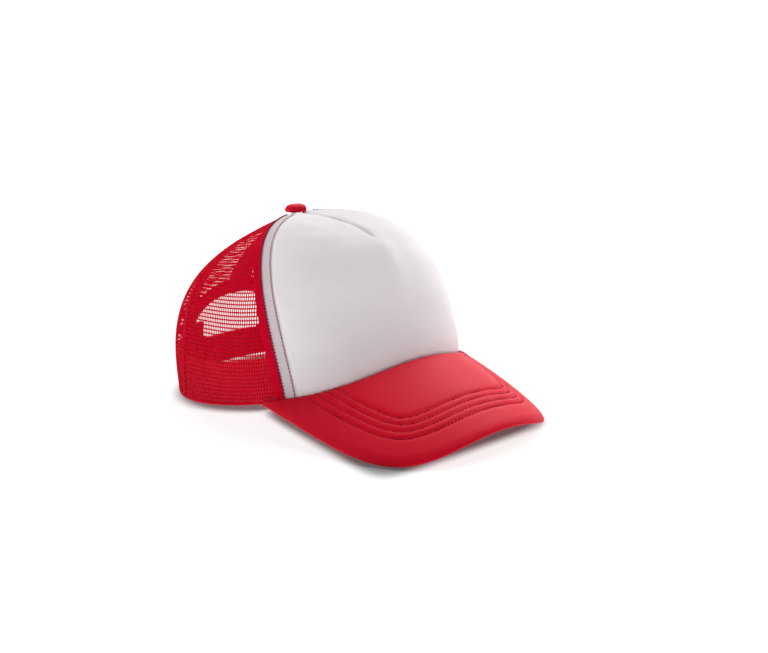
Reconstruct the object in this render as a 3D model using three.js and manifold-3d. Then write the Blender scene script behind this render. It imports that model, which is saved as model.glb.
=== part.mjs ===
// Trucker cap: white foam front, red net crown, bent red visor, button and snap strap.
// Millimetres, Z up, the visor points to -Y and the wearer's left is +X.
// The cap stands as it would by itself, on the sides of the visor and on the back of the rim.
import * as THREE from 'three'
import Module from 'manifold-3d'

// Crown
const crownHeight = 116.3
const rimHalfWidth = 89.7
const rimFront = 94.1
const rimBack = 89.3
const rimFrontFullness = 2.27
const rimBackFullness = 2.04
const poleBack = 18
const poleHole = 5.5
// One row every 36 degrees from the middle of the front to the middle of the back.
// rim: height of the lower edge; rise and lean: upward and outward pull of the wall above it;
// crest: height of the upper pull over the button; all three as shares of crownHeight.
// shoulder: reach of the upper pull as a share of the distance from rim to button.
const crownRows = [
  { rim: 0.353, rise: 0.507, lean: -0.2, shoulder: 0.856, crest: 0.085 },
  { rim: 0.263, rise: 0.546, lean: -0.121, shoulder: 0.759, crest: 0.117 },
  { rim: 0.131, rise: 0.554, lean: -0.026, shoulder: 0.683, crest: 0.09 },
  { rim: 0.043, rise: 0.633, lean: -0.014, shoulder: 0.673, crest: -0.054 },
  { rim: 0.003, rise: 0.586, lean: 0.143, shoulder: 0.633, crest: -0.175 },
  { rim: 0, rise: 0.508, lean: 0.087, shoulder: 0.553, crest: -0.172 },
]

// Seams between the panels, as angles round the button from the middle of the front
const frontSeamAtRim = 53.5
const frontSeamAtPole = 86
const frontSeamBend = 1.11
const backSeamAtRim = 112
const backSeamAtPole = 133
const pieceGap = 0.3
const seamGap = 0.5

// Cloth
const netDrop = 0.5
const netThickness = 1
const foamThickness = 3
const tapeWidth = 14
const tapeThickness = 0.9
const tapeTopRadius = 19.5
const bandLow = 6
const bandHigh = 27.5
const bandThickness = 1.5
const bandEnd = 142

// Front panel: flat strip along each seam, stitched groove beside it, dart from the button down
const stripWidth = 7.8
const stripArcShare = 0.31
const grooveDepth = 1.7
const foamRimRound = 0.7
const foamRimRise = 0.05
const dartDepth = 1.5
const dartHalfWidth = 2.2
const dartEnd = 0.61
const dartFade = 0.16
// Columns of the panel: steps from the seam in shares of stripWidth with the drop of the face
// in shares of grooveDepth, then even shares of the width that is left.
const stripColumns = [
  { step: 0, drop: 0.3, thin: 1 },
  { step: 0.45, drop: 0.28, thin: 1 },
  { step: 0.88, drop: 0.36, thin: 1 },
  { step: 1, drop: 1, thin: 0.9 },
  { step: 1.14, drop: 0.5, thin: 0.3 },
  { step: 1.4, drop: 0.12, thin: 0 },
  { step: 1.8, drop: 0, thin: 0 },
]
const mainColumns = [0.86, 0.7, 0.54, 0.38, 0.24, 0.12, 0.05, 0]

// Visor: a board bent over one axis, thicker than the crown cloth, with a rounded edge
const visorCorner = 61.9
const visorCornerOut = 1.6
const visorSidePull = { out: -2.4, ahead: 91.2 }
const visorFrontPull = 68.6
const visorReach = 69.8
const visorThickness = 4
const visorInnerRise = 40.65
const visorSlope = 0.257
const visorDroop = 0.113
const visorArch = 34.1
const visorArchWidth = 84
const visorArchFlattening = 0.183
const visorArchCorner = 0.018
const visorSeamDrop = 0.15

// Opening in the back with its binding, drawn as seen from behind
const archHalfWidth = 44
const archHeight = 50
const archFullness = 2.3
const bindingWidth = 8
const bindingProud = 0.7

// Snap strap
const strapHeight = 20
const strapThickness = 1.4
const pegCount = 7
const pegPitch = 7.2
const pegRadius = 2
const pegSides = 10
const pegProud = 0.8
const strapTip = 2.4
const strapOverlap = pegPitch * (pegCount - 1) / 2 + strapTip
// Upper edge of a strap half from its sewn end to its tip; top in shares of strapHeight
const strapColumns = [
  { along: 0, top: 1.65 },
  { along: 0.08, top: 1.68 },
  { along: 0.15, top: 1.66 },
  { along: 0.19, top: 1.55 },
  { along: 0.22, top: 1.3 },
  { along: 0.25, top: 1.07 },
  { along: 0.29, top: 1 },
  { along: 0.5, top: 1 },
  { along: 0.72, top: 1 },
  { along: 0.93, top: 0.99 },
  { along: 0.98, top: 0.9 },
  { along: 1, top: 0.78 },
]

// Button; radius in shares of buttonRadius and height in shares of buttonHeight
const buttonRadius = 7.3
const buttonHeight = 5.6
const buttonSides = 24
const buttonTilt = 7
const buttonStem = { radius: 3.2, depth: 3.2 }
const buttonProfile = [
  { radius: 1, height: 0.12 },
  { radius: 1.04, height: 0.34 },
  { radius: 1, height: 0.58 },
  { radius: 0.84, height: 0.82 },
  { radius: 0.55, height: 0.95 },
  { radius: 0.25, height: 1 },
]

const colours = {
  foam: 0xe3dddf,
  net: 0xb5152b,
  visor: 0xc92a3a,
  cloth: 0xa5132a,
  strap: 0x9c1024,
}

const radians = THREE.MathUtils.degToRad
const lerp = THREE.MathUtils.lerp
const smooth = (value, low, high) => THREE.MathUtils.smoothstep(value, low, high)

// Even periodic curve through rows at equal angles from front to back
function roundCurve(column) {
  const values = crownRows.map(row => row[column])
  const last = values.length - 1
  const weight = index => (index % last === 0 ? 0.5 : 1)
  const terms = values.map((_, k) => {
    const parts = values.map((value, j) => weight(j) * value * Math.cos(Math.PI * k * j / last))
    return 2 / last * weight(k) * parts.reduce((sum, part) => sum + part, 0)
  })
  return angle => terms.reduce((sum, term, k) => sum + term * Math.cos(k * angle), 0)
}

const rimCurve = roundCurve('rim')
const riseCurve = roundCurve('rise')
const leanCurve = roundCurve('lean')
const shoulderCurve = roundCurve('shoulder')
const crestCurve = roundCurve('crest')
const pole = new THREE.Vector2(0, poleBack)

const rimHeight = angle => crownHeight * rimCurve(angle)

// Rim in plan: an oval a little squarer at the front
function rimPlan(angle) {
  const ahead = Math.cos(angle) > 0
  const fullness = ahead ? rimFrontFullness : rimBackFullness
  const along = Math.abs(Math.cos(angle)) / (ahead ? rimFront : rimBack)
  const across = Math.abs(Math.sin(angle)) / rimHalfWidth
  const radius = (along ** fullness + across ** fullness) ** (-1 / fullness)
  return new THREE.Vector2(radius * Math.sin(angle), -radius * Math.cos(angle))
}

// Outside of the crown: a bent line from the rim (climb 0) to the button (climb 1) at each angle
function crownPoint(angle, climb) {
  const spoke = rimPlan(angle).sub(pole)
  const reach = spoke.length()
  const rim = rimHeight(angle)
  const back = 1 - climb
  const weights = [back ** 3, 3 * climb * back ** 2, 3 * climb ** 2 * back, climb ** 3]
  const radii = [reach, reach + crownHeight * leanCurve(angle), reach * shoulderCurve(angle), 0]
  const crest = crownHeight * (1 + crestCurve(angle))
  const heights = [rim, rim + crownHeight * riseCurve(angle), crest, crownHeight]
  const radius = weights.reduce((sum, weight, index) => sum + weight * radii[index], 0)
  const height = weights.reduce((sum, weight, index) => sum + weight * heights[index], 0)
  spoke.setLength(radius)
  return new THREE.Vector3(pole.x + spoke.x, pole.y + spoke.y, height)
}

function crownNormal(angle, climb) {
  const step = 0.004
  const round = crownPoint(angle + step, climb).sub(crownPoint(angle - step, climb))
  const up = crownPoint(angle, climb + step).sub(crownPoint(angle, climb - step))
  return round.cross(up).normalize()
}

// Point of the crown at a depth under its outside
const skinPoint = (angle, climb, depth) => {
  return crownPoint(angle, climb).addScaledVector(crownNormal(angle, climb), -depth)
}

const poleDistance = (angle, climb) => {
  const point = crownPoint(angle, climb)
  return Math.hypot(point.x - pole.x, point.y - pole.y)
}

// Value between low and high where a rising function passes zero
function crossing(rising, low, high) {
  let [below, above] = [low, high]
  for (let round = 0; round < 24; round += 1) {
    const middle = (below + above) / 2
    if (rising(middle) < 0) below = middle
    else above = middle
  }
  return (below + above) / 2
}

const climbAtHeight = (angle, height) => {
  return crossing(climb => crownPoint(angle, climb).z - height, 0, 0.6)
}
const climbAtRise = (angle, rise) => climbAtHeight(angle, rimHeight(angle) + rise)
const climbAtRadius = (angle, radius) => {
  return crossing(climb => radius - poleDistance(angle, climb), 0.4, 1)
}

// Seen from behind: angle and climb of the crown at a place x (toward +X) and height
function backPlace(x, height) {
  const side = Math.abs(x)
  const away = crossing(turn => {
    const angle = Math.PI - turn
    return crownPoint(angle, climbAtHeight(angle, height)).x - side
  }, 0, radians(75))
  const angle = Math.PI - away
  return { angle: x < 0 ? 2 * Math.PI - angle : angle, climb: climbAtHeight(angle, height) }
}

function backPoint(x, height, depth) {
  const place = backPlace(x, height)
  return skinPoint(place.angle, place.climb, depth)
}

const frontSeam = climb => {
  return radians(lerp(frontSeamAtRim, frontSeamAtPole, climb ** frontSeamBend))
}
const backSeam = climb => radians(lerp(backSeamAtRim, backSeamAtPole, climb))

// Half width of the arch at a height, for an edge lying outside the opening by a margin
const archReach = (height, margin) => {
  const share = Math.min(1, height / (archHeight + margin))
  return (archHalfWidth + margin) * (1 - share ** archFullness) ** (1 / archFullness)
}

// Closed body between an outer and an inner sheet of places(column, row, face), face 0 or 1
function sheetBody(columns, rows, place) {
  const points = []
  for (let face = 0; face < 2; face += 1) {
    for (let row = 0; row < rows; row += 1) {
      for (let column = 0; column < columns; column += 1) points.push(place(column, row, face))
    }
  }
  const index = (column, row, face) => (face * rows + row) * columns + column
  const faces = []
  const quad = (a, b, c, d) => faces.push(a, b, c, a, c, d)
  for (let row = 0; row < rows - 1; row += 1) {
    for (let column = 0; column < columns - 1; column += 1) {
      const corners = [[column, row], [column + 1, row], [column + 1, row + 1], [column, row + 1]]
      quad(...corners.map(([i, j]) => index(i, j, 0)))
      quad(...corners.reverse().map(([i, j]) => index(i, j, 1)))
    }
  }
  const wall = (from, to) => quad(index(...to, 0), index(...from, 0), index(...from, 1), index(...to, 1))
  for (let column = 0; column < columns - 1; column += 1) {
    wall([column, 0], [column + 1, 0])
    wall([column + 1, rows - 1], [column, rows - 1])
  }
  for (let row = 0; row < rows - 1; row += 1) {
    wall([columns - 1, row], [columns - 1, row + 1])
    wall([0, row + 1], [0, row])
  }
  return closedGeometry(points, faces)
}

// Geometry with its faces turned outward
function closedGeometry(points, faces) {
  let volume = 0
  for (let i = 0; i < faces.length; i += 3) {
    const [a, b, c] = [points[faces[i]], points[faces[i + 1]], points[faces[i + 2]]]
    volume += a.dot(b.clone().cross(c))
  }
  const turned = volume < 0 ? faces.slice().reverse() : faces
  const geometry = new THREE.BufferGeometry()
  geometry.setAttribute('position', new THREE.Float32BufferAttribute(points.flatMap(p => p.toArray()), 3))
  geometry.setIndex(turned)
  return geometry
}

const shares = count => Array.from({ length: count }, (_, index) => index / (count - 1))
const cap = new THREE.Group()
cap.name = 'trucker_cap'

function addMesh(name, geometry, colour, roughness) {
  geometry.computeVertexNormals()
  const material = new THREE.MeshStandardMaterial({ color: colour, roughness, metalness: 0 })
  material.name = `${name}_material`
  const mesh = new THREE.Mesh(geometry, material)
  mesh.name = name
  cap.add(mesh)
  return mesh
}

// Front panel
const frontRows = shares(19)

function frontPanelColumns() {
  const edge = stripColumns.map(column => ({ ...column, share: 1 }))
  const last = stripColumns[stripColumns.length - 1]
  const main = mainColumns.map(share => ({ ...last, share }))
  const half = [...edge, ...main].map(column => ({ ...column, side: 1 }))
  const mirrored = half.slice(0, -1).reverse().map(column => ({ ...column, side: -1 }))
  return [...half, ...mirrored]
}

function dartDrop(angle, climb) {
  const across = angle * poleDistance(angle, climb) / dartHalfWidth
  const along = smooth(climb, dartEnd, dartEnd + dartFade)
  return dartDepth * along * Math.exp(-(across ** 2))
}

const frontColumns = frontPanelColumns()

function frontPanelPoint(columnIndex, row, face) {
  const column = frontColumns[columnIndex]
  const climb = frontRows[row] * climbAtRadius(0, poleHole)
  const seam = frontSeam(climb)
  const around = poleDistance(seam, climb)
  const strip = Math.min(stripWidth, stripArcShare * seam * around)
  const edge = seam - (seamGap / 2 + column.step * strip) / around
  const angle = edge * column.share
  const rimEdge = foamRimRound * (1 - smooth(climb, 0, foamRimRise))
  const outer = column.drop * grooveDepth + dartDrop(angle, climb)
  const body = lerp(foamThickness, netDrop + netThickness, column.thin)
  const depth = face === 0 ? outer + rimEdge * (1 - column.thin) : body
  return skinPoint(column.side * angle, climb, depth)
}

const frontPanel = sheetBody(frontColumns.length, frontRows.length, frontPanelPoint)
addMesh('front_panel', frontPanel, colours.foam, 0.85)

// Net panels of one side; turn is 1 for the wearer's left and -1 for the right
const netDepth = face => netDrop + face * netThickness
const sideShares = shares(17)
const sideClimbs = shares(15)
const backShares = shares(16)
const backClimbs = shares(13)

function sideNetPoint(turn) {
  return (column, row, face) => {
    const climb = sideClimbs[row] * climbAtRadius(radians(backSeamAtPole), poleHole)
    const [low, high] = [frontSeam(climb), backSeam(climb)]
    const spare = seamGap / 2 / poleDistance(low, climb)
    const angle = lerp(low + spare, high - spare, sideShares[column])
    return skinPoint(turn * angle, climb, netDepth(face))
  }
}

// Lower edge of a back net panel: along the binding from the middle, then along the rim
function backNetFoot(share) {
  const onArch = 0.53
  const turn = Math.min(1, share / onArch) * Math.PI / 2
  const power = 2 / archFullness
  const x = (archHalfWidth + bindingWidth) * Math.sin(turn) ** power
  const height = (archHeight + bindingWidth) * Math.cos(turn) ** power
  if (share === 0) return { angle: Math.PI, climb: climbAtHeight(Math.PI, height) }
  if (share <= onArch) return backPlace(x, height)
  const start = backPlace(archHalfWidth + bindingWidth, 0).angle
  return { angle: lerp(start, backSeam(0), (share - onArch) / (1 - onArch)), climb: 0 }
}

const backNetFeet = backShares.map(share => {
  const foot = backNetFoot(share)
  return { climb: foot.climb, across: (Math.PI - foot.angle) / (Math.PI - backSeam(foot.climb)) }
})

function backNetPoint(turn) {
  return (column, row, face) => {
    const foot = backNetFeet[column]
    const climb = lerp(foot.climb, climbAtRadius(radians(backSeamAtPole), poleHole), backClimbs[row])
    const across = lerp(foot.across, backShares[column], smooth(backClimbs[row], 0, 1))
    const width = Math.PI - backSeam(climb)
    const spare = seamGap / 2 / poleDistance(Math.PI, climb) / width
    const angle = Math.PI - width * lerp(spare, 1 - spare, across)
    return skinPoint(turn * angle, climb, netDepth(face))
  }
}

const sides = [{ side: 'right', turn: -1 }, { side: 'left', turn: 1 }]
for (const { side, turn } of sides) {
  const sideNet = sheetBody(sideShares.length, sideClimbs.length, sideNetPoint(turn))
  addMesh(`side_net_${side}`, sideNet, colours.net, 0.7)
  const backNet = sheetBody(backShares.length, backClimbs.length, backNetPoint(turn))
  addMesh(`back_net_${side}`, backNet, colours.net, 0.7)
}

// Visor
const visorAlong = shares(37).map(share => 2 * share - 1)
const visorAcross = [0, 0.25, 0.5, 0.72, 0.88, 0.955, 0.985, 1]

function visorHeight(x, y) {
  const ahead = (y + rimFront) / visorReach
  const wide = x / visorArchWidth
  const arch = wide ** 2 * (1 - visorArchFlattening * ahead) + visorArchCorner * wide ** 4
  const middle = visorInnerRise + visorReach * (visorSlope * ahead - visorDroop * ahead ** 2)
  return middle - visorArch * arch
}

function visorOutline(share) {
  const corner = rimPlan(radians(visorCorner))
  const start = corner.clone().setLength(corner.length() + visorCornerOut)
  const tip = new THREE.Vector2(0, -rimFront - visorReach)
  const pulls = [
    start,
    new THREE.Vector2(start.x + visorSidePull.out, start.y - visorSidePull.ahead),
    new THREE.Vector2(visorFrontPull, tip.y),
    tip,
  ]
  const point = new THREE.CubicBezierCurve(...pulls).getPoint(1 - Math.abs(share))
  return share < 0 ? point.setX(-point.x) : point
}

function visorPoint(column, row, face) {
  const share = visorAlong[column]
  const angle = share * radians(visorCorner)
  const seam = rimPlan(angle)
  const inner = seam.clone().setLength(seam.length() - visorSeamDrop)
  const outer = visorOutline(share)
  const plan = inner.clone().lerp(outer, visorAcross[row])
  const step = 0.5
  const slopeX = (visorHeight(plan.x + step, plan.y) - visorHeight(plan.x - step, plan.y)) / (2 * step)
  const slopeY = (visorHeight(plan.x, plan.y + step) - visorHeight(plan.x, plan.y - step)) / (2 * step)
  const normal = new THREE.Vector3(-slopeX, -slopeY, 1).normalize()
  const radius = visorThickness / 2
  const fromEdge = Math.min(radius, inner.distanceTo(outer) * (1 - visorAcross[row]) + radius / 8)
  const half = Math.sqrt(radius ** 2 - (radius - fromEdge) ** 2)
  const height = visorHeight(plan.x, plan.y) + (face === 0 ? half : -half) / normal.z
  return new THREE.Vector3(plan.x, plan.y, height)
}

addMesh('visor', sheetBody(visorAlong.length, visorAcross.length, visorPoint), colours.visor, 0.45)

// Sweatband
const bandAlong = shares(57).map(share => radians(bandEnd) * (2 * share - 1))
const bandAcross = shares(4)

function bandPoint(column, row, face) {
  const angle = bandAlong[column]
  const climb = climbAtRise(Math.abs(angle), lerp(bandLow, bandHigh, bandAcross[row]))
  const overNet = smooth(Math.abs(angle), radians(frontSeamAtRim + 6), radians(frontSeamAtRim + 18))
  const carrier = lerp(foamThickness, netDrop + netThickness, overNet)
  return skinPoint(angle, climb, carrier + pieceGap + face * bandThickness)
}

addMesh('sweatband', sheetBody(bandAlong.length, bandAcross.length, bandPoint), colours.cloth, 0.9)

// Tapes inside the seams, from the sweatband or the binding up to the button
const tapeAlong = shares(15)
const tapeAcross = [-1, 0, 1]

function tapeBody(centre, foot) {
  return sheetBody(tapeAcross.length, tapeAlong.length, (column, row, face) => {
    const climb = lerp(foot, climbAtRadius(centre(1), tapeTopRadius), tapeAlong[row])
    const middle = centre(climb)
    const angle = middle + tapeAcross[column] * tapeWidth / 2 / poleDistance(middle, climb)
    return skinPoint(angle, climb, netDrop + netThickness + pieceGap + face * tapeThickness)
  })
}

const tapeRise = bandHigh + pieceGap
for (const { side, turn } of sides) {
  const frontFoot = climbAtRise(radians(frontSeamAtRim), tapeRise)
  const backFoot = climbAtRise(radians(backSeamAtRim), tapeRise)
  const frontTape = tapeBody(climb => turn * frontSeam(climb), frontFoot)
  const backTape = tapeBody(climb => turn * backSeam(climb), backFoot)
  addMesh(`front_seam_tape_${side}`, frontTape, colours.cloth, 0.9)
  addMesh(`back_seam_tape_${side}`, backTape, colours.cloth, 0.9)
}
const centreFoot = climbAtHeight(Math.PI, archHeight + bindingWidth + pieceGap)
addMesh('centre_back_tape', tapeBody(() => Math.PI, centreFoot), colours.cloth, 0.9)

// Binding round the opening
const bindingAlong = shares(41).map(share => Math.PI * share)
const bindingAcross = [0, 0.5, 1]

function bindingPoint(column, row, face) {
  const margin = lerp(0, bindingWidth - pieceGap, bindingAcross[row])
  const power = 2 / archFullness
  const turn = bindingAlong[column]
  const wide = Math.sign(Math.cos(turn)) * Math.abs(Math.cos(turn)) ** power
  const high = Math.abs(Math.sin(turn)) ** power
  const proud = bindingAcross[row] === 0.5 ? bindingProud : bindingProud / 2
  const depth = face === 0 ? netDrop - proud : netDrop + netThickness + proud
  return backPoint((archHalfWidth + margin) * wide, (archHeight + margin) * high, depth)
}

const binding = sheetBody(bindingAlong.length, bindingAcross.length, bindingPoint)
addMesh('arch_binding', binding, colours.cloth, 0.85)

// Snap strap: the half with holes lies outside the half with pegs
const strapAcross = shares(5)
const solids = await Module()
solids.setup()

function strapBody(turn, depth) {
  return sheetBody(strapColumns.length, strapAcross.length, (column, row, face) => {
    const { along, top } = strapColumns[column]
    const trim = along > 0.9 ? strapHeight * (1 - top) : 0
    const height = lerp(trim, strapHeight * top, strapAcross[row])
    const end = archReach(height, 0) - pieceGap
    return backPoint(turn * lerp(end, -strapOverlap, along), height, depth + face * strapThickness)
  })
}

// Short round bar through the strap at a place along it
function strapBar(x, radius, from, to) {
  const [start, end] = [from, to].map(depth => backPoint(x, strapHeight / 2, depth))
  const bar = new THREE.CylinderGeometry(radius, radius, start.distanceTo(end), pegSides)
  const turn = new THREE.Quaternion()
  turn.setFromUnitVectors(new THREE.Vector3(0, 1, 0), end.clone().sub(start).normalize())
  return bar.applyQuaternion(turn).translate(...start.add(end).multiplyScalar(0.5).toArray())
}

function toSolid(geometry) {
  const points = geometry.getAttribute('position')
  const mesh = new solids.Mesh({
    numProp: 3,
    vertProperties: new Float32Array(points.array),
    triVerts: new Uint32Array(geometry.index.array),
  })
  mesh.merge()
  return new solids.Manifold(mesh)
}

function fromSolid(solid) {
  const mesh = solid.getMesh()
  const geometry = new THREE.BufferGeometry()
  geometry.setAttribute('position', new THREE.BufferAttribute(mesh.vertProperties, 3))
  geometry.setIndex(new THREE.BufferAttribute(mesh.triVerts, 1))
  return geometry
}

const outerDepth = netDrop
const innerDepth = netDrop + strapThickness + pieceGap
const pegPlaces = shares(pegCount).map(share => (2 * share - 1) * pegPitch * (pegCount - 1) / 2)
const holes = pegPlaces.map(x => strapBar(x, pegRadius + pieceGap, -1, innerDepth + 1))
const pegFoot = innerDepth + strapThickness / 2
const pegs = pegPlaces.map(x => strapBar(x, pegRadius, outerDepth - pegProud, pegFoot))
const outerStrap = toSolid(strapBody(-1, outerDepth))
const innerStrap = toSolid(strapBody(1, innerDepth))
const holedStrap = holes.reduce((strap, hole) => strap.subtract(toSolid(hole)), outerStrap)
const peggedStrap = pegs.reduce((strap, peg) => strap.add(toSolid(peg)), innerStrap)
addMesh('snap_strap_right', fromSolid(holedStrap), colours.strap, 0.4)
addMesh('snap_strap_left', fromSolid(peggedStrap), colours.strap, 0.4)

// Button with its stem, closed round the axis of the pole
function buttonBody() {
  const rings = [
    { radius: buttonStem.radius, height: -buttonStem.depth },
    { radius: buttonStem.radius, height: pieceGap },
    ...buttonProfile.map(row => ({ radius: row.radius * buttonRadius, height: row.height * buttonHeight })),
  ]
  const points = rings.flatMap(({ radius, height }) => shares(buttonSides + 1).slice(1).map(share => {
    const turn = 2 * Math.PI * share
    return new THREE.Vector3(radius * Math.cos(turn), radius * Math.sin(turn), height)
  }))
  const faces = []
  const at = (ring, side) => ring * buttonSides + side % buttonSides
  for (let ring = 0; ring < rings.length - 1; ring += 1) {
    for (let side = 0; side < buttonSides; side += 1) {
      const [a, b] = [at(ring, side), at(ring, side + 1)]
      const [c, d] = [at(ring + 1, side + 1), at(ring + 1, side)]
      faces.push(a, b, c, a, c, d)
    }
  }
  const [low, high] = [points.length, points.length + 1]
  points.push(new THREE.Vector3(0, 0, rings[0].height))
  points.push(new THREE.Vector3(0, 0, rings[rings.length - 1].height))
  for (let side = 0; side < buttonSides; side += 1) {
    faces.push(low, at(0, side + 1), at(0, side))
    faces.push(high, at(rings.length - 1, side), at(rings.length - 1, side + 1))
  }
  const body = closedGeometry(points, faces)
  return body.rotateX(-radians(buttonTilt)).translate(pole.x, pole.y, crownHeight)
}

addMesh('button', buttonBody(), colours.net, 0.6)

// The middle of the cap's box stands on the origin, its lowest point on the ground
const box = new THREE.Box3().setFromObject(cap)
const centre = box.getCenter(new THREE.Vector3())
cap.position.set(-centre.x, -centre.y, -box.min.z)
cap.updateMatrixWorld(true)

export default cap
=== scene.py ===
import math

import bpy
import numpy as np
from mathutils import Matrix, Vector


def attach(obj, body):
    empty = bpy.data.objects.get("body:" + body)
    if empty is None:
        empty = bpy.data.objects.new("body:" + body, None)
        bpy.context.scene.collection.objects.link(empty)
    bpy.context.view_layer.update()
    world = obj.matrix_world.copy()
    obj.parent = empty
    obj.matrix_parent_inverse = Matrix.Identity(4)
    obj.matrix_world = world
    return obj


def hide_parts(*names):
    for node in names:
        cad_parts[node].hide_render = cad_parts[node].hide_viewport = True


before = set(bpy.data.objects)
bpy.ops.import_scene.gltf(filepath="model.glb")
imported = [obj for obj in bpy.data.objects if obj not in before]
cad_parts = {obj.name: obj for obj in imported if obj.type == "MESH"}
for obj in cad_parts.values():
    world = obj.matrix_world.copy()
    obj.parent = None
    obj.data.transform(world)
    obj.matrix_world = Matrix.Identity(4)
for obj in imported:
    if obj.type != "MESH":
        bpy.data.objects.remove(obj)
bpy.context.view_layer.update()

# Trucker cap: white foam front, red net crown, bent red visor, button and snap strap.
# Lengths are millimetres until a mesh is made. The visor points to -Y, the wearer's left is +X.
# The crown's formulas are written round its own axis; place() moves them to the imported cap.
crown = {
    "height": 116.3,
    "rimHalfWidth": 89.7,
    "rimFront": 94.1,
    "rimBack": 89.3,
    "frontFullness": 2.27,
    "backFullness": 2.04,
    "pole": (0.0, 18.0),
    "poleHole": 5.5,
    "shift": (0.0, 36.454, -0.014),
}
# One row every 36 degrees from the middle of the front to the middle of the back.
crownRows = {
    "rim": (0.353, 0.263, 0.131, 0.043, 0.003, 0.0),
    "rise": (0.507, 0.546, 0.554, 0.633, 0.586, 0.508),
    "lean": (-0.2, -0.121, -0.026, -0.014, 0.143, 0.087),
    "shoulder": (0.856, 0.759, 0.683, 0.673, 0.633, 0.553),
    "crest": (0.085, 0.117, 0.09, -0.054, -0.175, -0.172),
}
seams = {
    "frontAtRim": 53.5,
    "frontAtPole": 86.0,
    "frontBend": 1.11,
    "backAtRim": 112.0,
    "backAtPole": 133.0,
    "gap": 0.5,
}
cloth = {"netDrop": 0.5, "netThickness": 1.0, "foamThickness": 3.0, "pieceGap": 0.3}
sides = {"right": -1, "left": 1}


# Shape of the crown

def roundCurve(name):
    values = np.array(crownRows[name])
    last = len(values) - 1
    weight = np.ones(last + 1)
    weight[[0, -1]] = 0.5
    order = np.arange(last + 1)
    terms = 2 / last * weight * (np.cos(np.pi * np.outer(order, order) / last) @ (weight * values))
    return lambda angle: sum(term * np.cos(k * angle) for k, term in enumerate(terms))


rimCurve, riseCurve, leanCurve, shoulderCurve, crestCurve = [roundCurve(name) for name in crownRows]
pole = np.array(crown["pole"])


def rimPlan(angle):
    ahead = np.cos(angle) > 0
    fullness = np.where(ahead, crown["frontFullness"], crown["backFullness"])
    along = np.abs(np.cos(angle)) / np.where(ahead, crown["rimFront"], crown["rimBack"])
    across = np.abs(np.sin(angle)) / crown["rimHalfWidth"]
    radius = (along ** fullness + across ** fullness) ** (-1 / fullness)
    return np.stack([radius * np.sin(angle), -radius * np.cos(angle)], -1)


# Outside of the crown: a bent line from the rim (climb 0) to the button (climb 1) at each angle
def crownPoint(angle, climb):
    angle, climb = np.broadcast_arrays(np.asarray(angle, float), np.asarray(climb, float))
    spoke = rimPlan(angle) - pole
    reach = np.linalg.norm(spoke, axis=-1)
    tall = crown["height"]
    rim = tall * rimCurve(angle)
    back = 1 - climb
    weights = [back ** 3, 3 * climb * back ** 2, 3 * climb ** 2 * back, climb ** 3]
    radii = [reach, reach + tall * leanCurve(angle), reach * shoulderCurve(angle), 0]
    heights = [rim, rim + tall * riseCurve(angle), tall * (1 + crestCurve(angle)), tall]
    radius = sum(weight * value for weight, value in zip(weights, radii))
    height = sum(weight * value for weight, value in zip(weights, heights))
    plan = pole + spoke / reach[..., None] * radius[..., None]
    return np.concatenate([plan, height[..., None]], -1)


def crownNormal(angle, climb):
    step = 0.004
    turned = crownPoint(angle + step, climb) - crownPoint(angle - step, climb)
    climbed = crownPoint(angle, climb + step) - crownPoint(angle, climb - step)
    normal = np.cross(turned, climbed)
    return normal / np.linalg.norm(normal, axis=-1)[..., None]


def skinPoint(angle, climb, depth):
    return crownPoint(angle, climb) - crownNormal(angle, climb) * np.asarray(depth)[..., None]


def poleDistance(angle, climb):
    return np.linalg.norm(crownPoint(angle, climb)[..., :2] - pole, axis=-1)


def crossing(rising, low, high, like):
    below, above = np.full(np.shape(like), float(low)), np.full(np.shape(like), float(high))
    for _ in range(26):
        middle = (below + above) / 2
        under = rising(middle) < 0
        below, above = np.where(under, middle, below), np.where(under, above, middle)
    return (below + above) / 2


def climbAtHeight(angle, height):
    angle, height = np.broadcast_arrays(np.asarray(angle, float), np.asarray(height, float))
    return crossing(lambda climb: crownPoint(angle, climb)[..., 2] - height, 0, 0.6, angle)


def climbAtRise(angle, rise):
    return climbAtHeight(angle, crown["height"] * rimCurve(np.asarray(angle, float)) + rise)


def climbAtRadius(angle, radius):
    angle = np.asarray(angle, float)
    return crossing(lambda climb: radius - poleDistance(angle, climb), 0.4, 1, angle)


# Angle and climb of the back of the crown at a place x and height, as seen from behind
def backPlace(x, height):
    x, height = np.broadcast_arrays(np.asarray(x, float), np.asarray(height, float))

    def over(turn):
        angle = np.pi - turn
        return crownPoint(angle, climbAtHeight(angle, height))[..., 0] - np.abs(x)

    angle = np.pi - crossing(over, 0, math.radians(75), x)
    return np.where(x < 0, 2 * np.pi - angle, angle), climbAtHeight(angle, height)


def backPoint(x, height, depth):
    angle, climb = backPlace(x, height)
    return skinPoint(angle, climb, depth)


def smooth(value, low, high):
    share = np.clip((np.asarray(value, float) - low) / (high - low), 0, 1)
    return share * share * (3 - 2 * share)


def mix(low, high, share):
    return low + (high - low) * share


def frontSeam(climb):
    share = np.asarray(climb, float) ** seams["frontBend"]
    return np.radians(mix(seams["frontAtRim"], seams["frontAtPole"], share))


def backSeam(climb):
    return np.radians(mix(seams["backAtRim"], seams["backAtPole"], np.asarray(climb, float)))


# Meshes

def place(points):
    return (np.asarray(points, float) + np.array(crown["shift"])) / 1000


# Distances along a grid of points: across from the middle column, up the middle column
def clothUv(points):
    rows, columns = points.shape[:2]
    middle = columns // 2
    across = np.linalg.norm(np.diff(points, axis=1), axis=-1)
    across = np.concatenate([np.zeros((rows, 1)), np.cumsum(across, 1)], 1)
    across = across - across[:, middle:middle + 1]
    up = np.concatenate([[0], np.cumsum(np.linalg.norm(np.diff(points[:, middle], axis=0), axis=-1))])
    return np.stack([across, np.repeat(up[:, None], columns, 1)], -1) / 1000


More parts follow.
